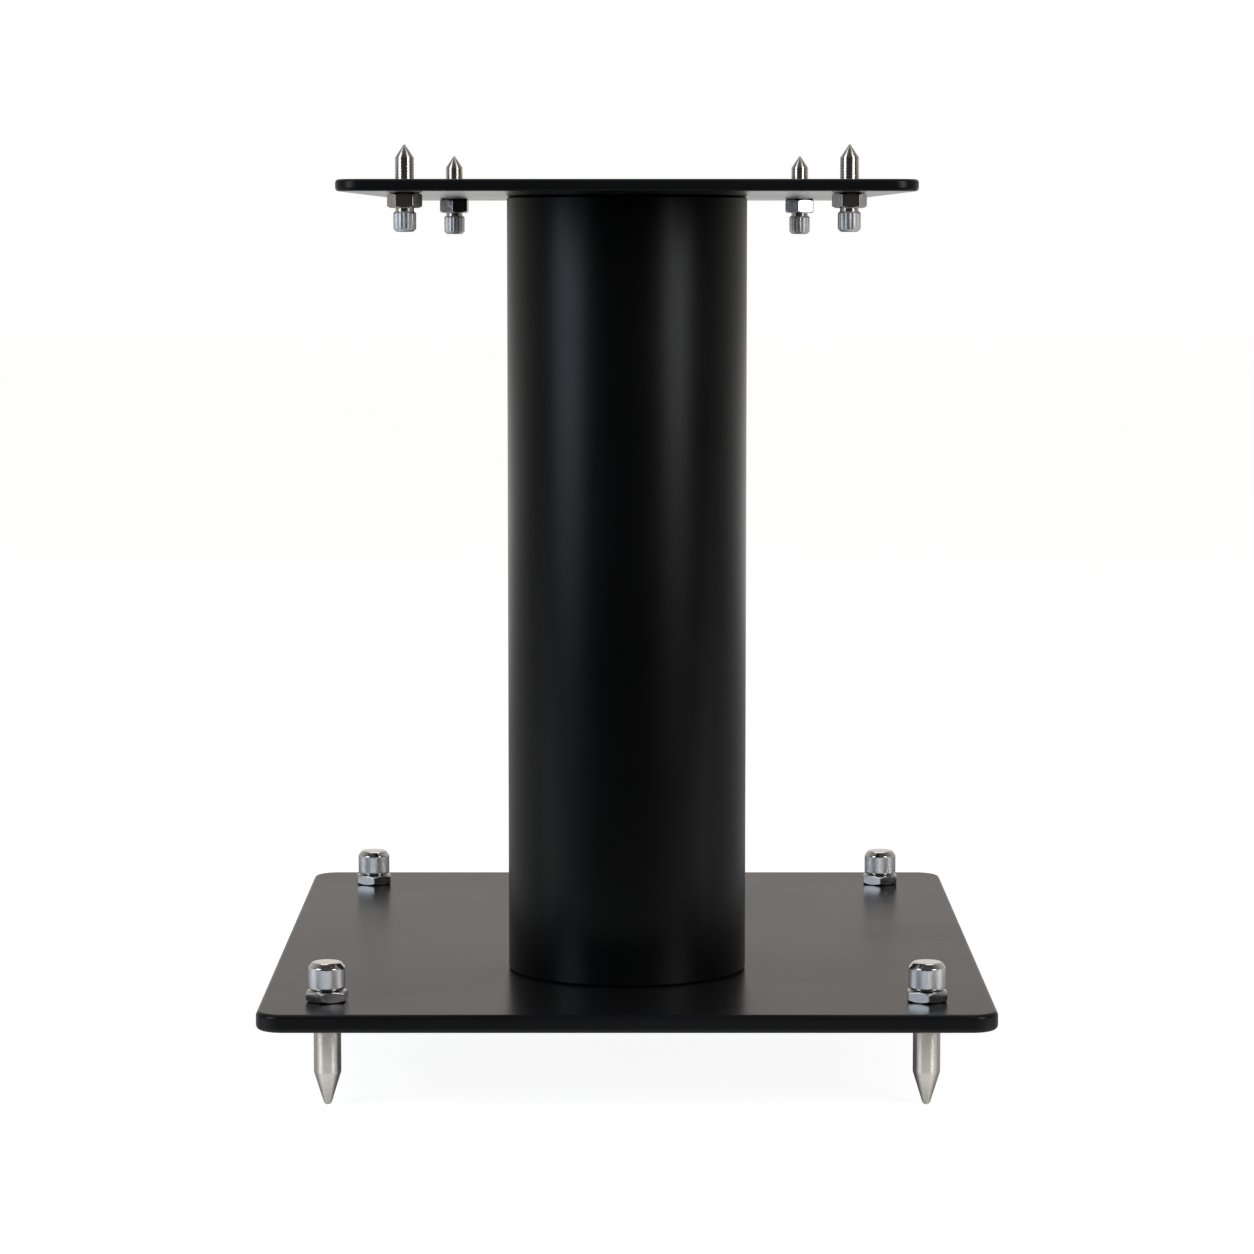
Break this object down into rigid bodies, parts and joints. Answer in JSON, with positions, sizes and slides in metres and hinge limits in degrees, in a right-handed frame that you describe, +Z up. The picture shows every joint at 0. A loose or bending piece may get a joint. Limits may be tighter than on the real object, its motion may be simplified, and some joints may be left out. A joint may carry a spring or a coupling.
{
  "type": "speaker stand",
  "caption": "Low floor stand for a bookshelf speaker: heavy base plate on adjustable floor spikes, round steel column, and a top plate with pointed screws.",
  "frame": {"origin": "on the floor, below the middle of the stand's outer box; the column's axis is 61.25 mm ahead of it", "axes": "+X to the right as the front is seen, +Y to the back, +Z up along the column"},
  "size_m": [0.3278, 0.4256, 0.4169],
  "materials": {
    "black_coat": "satin black powder coat",
    "bare_steel": "mill finish",
    "black_screws": "black oxide",
    "turned_steel": "fine turned stainless steel",
    "nut_steel": "nickel plate",
    "bright_plate": "bright nickel plate with a fine knurl"
  },
  "bodies": {
    "stand": {"base_plate": "black_coat", "top_plate": "black_coat", "column_tube": "black_coat", "column_bottom_flange": "bare_steel", "column_top_flange": "bare_steel", "base_plate_screws": "black_screws", "top_plate_screws": "black_screws"},
    "floor_spike_front_left": {"floor_spike_front_left": "turned_steel"},
    "floor_lock_nut_front_left": {"floor_lock_nut_front_left": "nut_steel"},
    "floor_knob_front_left": {"floor_knob_front_left": "bright_plate"},
    "top_spike_front_left": {"top_spike_front_left": "turned_steel"},
    "top_lock_nut_front_left": {"top_lock_nut_front_left": "nut_steel"},
    "floor_spike_front_right": {"floor_spike_front_right": "turned_steel"},
    "floor_lock_nut_front_right": {"floor_lock_nut_front_right": "nut_steel"},
    "floor_knob_front_right": {"floor_knob_front_right": "bright_plate"},
    "top_spike_front_right": {"top_spike_front_right": "turned_steel"},
    "top_lock_nut_front_right": {"top_lock_nut_front_right": "nut_steel"},
    "floor_spike_rear_left": {"floor_spike_rear_left": "turned_steel"},
    "floor_lock_nut_rear_left": {"floor_lock_nut_rear_left": "nut_steel"},
    "floor_knob_rear_left": {"floor_knob_rear_left": "bright_plate"},
    "top_spike_rear_left": {"top_spike_rear_left": "turned_steel"},
    "top_lock_nut_rear_left": {"top_lock_nut_rear_left": "nut_steel"},
    "floor_spike_rear_right": {"floor_spike_rear_right": "turned_steel"},
    "floor_lock_nut_rear_right": {"floor_lock_nut_rear_right": "nut_steel"},
    "floor_knob_rear_right": {"floor_knob_rear_right": "bright_plate"},
    "top_spike_rear_right": {"top_spike_rear_right": "turned_steel"},
    "top_lock_nut_rear_right": {"top_lock_nut_rear_right": "nut_steel"}
  },
  "joints": [
    {"name": "floor_spike_front_left_height", "type": "slide", "parent": "stand", "child": "floor_spike_front_left", "axis": [0, 0, 1], "range_m": [0, 0.0045]},
    {"name": "floor_knob_front_left_turn", "type": "hinge", "parent": "floor_spike_front_left", "child": "floor_knob_front_left", "pos_m": [-0.131, -0.14475, 0.057], "axis": [0, 0, 1], "range_deg": [0, 1080]},
    {"name": "floor_lock_nut_front_left_turn", "type": "hinge", "parent": "stand", "child": "floor_lock_nut_front_left", "pos_m": [-0.131, -0.14475, 0.0485], "axis": [0, 0, 1], "range_deg": [0, 90]},
    {"name": "top_spike_front_left_height", "type": "slide", "parent": "stand", "child": "top_spike_front_left", "axis": [0, 0, 1], "range_m": [-0.015, 0.00125]},
    {"name": "top_lock_nut_front_left_turn", "type": "hinge", "parent": "stand", "child": "top_lock_nut_front_left", "pos_m": [-0.0942, -0.16375, 0.39325], "axis": [0, 0, 1], "range_deg": [-90, 0]},
    {"name": "floor_spike_front_right_height", "type": "slide", "parent": "stand", "child": "floor_spike_front_right", "axis": [0, 0, 1], "range_m": [0, 0.0045]},
    {"name": "floor_knob_front_right_turn", "type": "hinge", "parent": "floor_spike_front_right", "child": "floor_knob_front_right", "pos_m": [0.131, -0.14475, 0.057], "axis": [0, 0, 1], "range_deg": [0, 1080]},
    {"name": "floor_lock_nut_front_right_turn", "type": "hinge", "parent": "stand", "child": "floor_lock_nut_front_right", "pos_m": [0.131, -0.14475, 0.0485], "axis": [0, 0, 1], "range_deg": [0, 90]},
    {"name": "top_spike_front_right_height", "type": "slide", "parent": "stand", "child": "top_spike_front_right", "axis": [0, 0, 1], "range_m": [-0.015, 0.00125]},
    {"name": "top_lock_nut_front_right_turn", "type": "hinge", "parent": "stand", "child": "top_lock_nut_front_right", "pos_m": [0.0942, -0.16375, 0.39325], "axis": [0, 0, 1], "range_deg": [-90, 0]},
    {"name": "floor_spike_rear_left_height", "type": "slide", "parent": "stand", "child": "floor_spike_rear_left", "axis": [0, 0, 1], "range_m": [0, 0.0045]},
    {"name": "floor_knob_rear_left_turn", "type": "hinge", "parent": "floor_spike_rear_left", "child": "floor_knob_rear_left", "pos_m": [-0.131, 0.17475, 0.057], "axis": [0, 0, 1], "range_deg": [0, 1080]},
    {"name": "floor_lock_nut_rear_left_turn", "type": "hinge", "parent": "stand", "child": "floor_lock_nut_rear_left", "pos_m": [-0.131, 0.17475, 0.0485], "axis": [0, 0, 1], "range_deg": [0, 90]},
    {"name": "top_spike_rear_left_height", "type": "slide", "parent": "stand", "child": "top_spike_rear_left", "axis": [0, 0, 1], "range_m": [-0.015, 0.00125]},
    {"name": "top_lock_nut_rear_left_turn", "type": "hinge", "parent": "stand", "child": "top_lock_nut_rear_left", "pos_m": [-0.0821, 0.04125, 0.39325], "axis": [0, 0, 1], "range_deg": [-90, 0]},
    {"name": "floor_spike_rear_right_height", "type": "slide", "parent": "stand", "child": "floor_spike_rear_right", "axis": [0, 0, 1], "range_m": [0, 0.0045]},
    {"name": "floor_knob_rear_right_turn", "type": "hinge", "parent": "floor_spike_rear_right", "child": "floor_knob_rear_right", "pos_m": [0.131, 0.17475, 0.057], "axis": [0, 0, 1], "range_deg": [0, 1080]},
    {"name": "floor_lock_nut_rear_right_turn", "type": "hinge", "parent": "stand", "child": "floor_lock_nut_rear_right", "pos_m": [0.131, 0.17475, 0.0485], "axis": [0, 0, 1], "range_deg": [0, 90]},
    {"name": "top_spike_rear_right_height", "type": "slide", "parent": "stand", "child": "top_spike_rear_right", "axis": [0, 0, 1], "range_m": [-0.015, 0.00125]},
    {"name": "top_lock_nut_rear_right_turn", "type": "hinge", "parent": "stand", "child": "top_lock_nut_rear_right", "pos_m": [0.0821, 0.04125, 0.39325], "axis": [0, 0, 1], "range_deg": [-90, 0]}
  ],
  "couplings": [
    {"joint": "floor_knob_front_left_turn", "follows": "floor_spike_front_left_height", "rad_per_m": 4188.8},
    {"joint": "floor_knob_front_right_turn", "follows": "floor_spike_front_right_height", "rad_per_m": 4188.8},
    {"joint": "floor_knob_rear_left_turn", "follows": "floor_spike_rear_left_height", "rad_per_m": 4188.8},
    {"joint": "floor_knob_rear_right_turn", "follows": "floor_spike_rear_right_height", "rad_per_m": 4188.8}
  ]
}
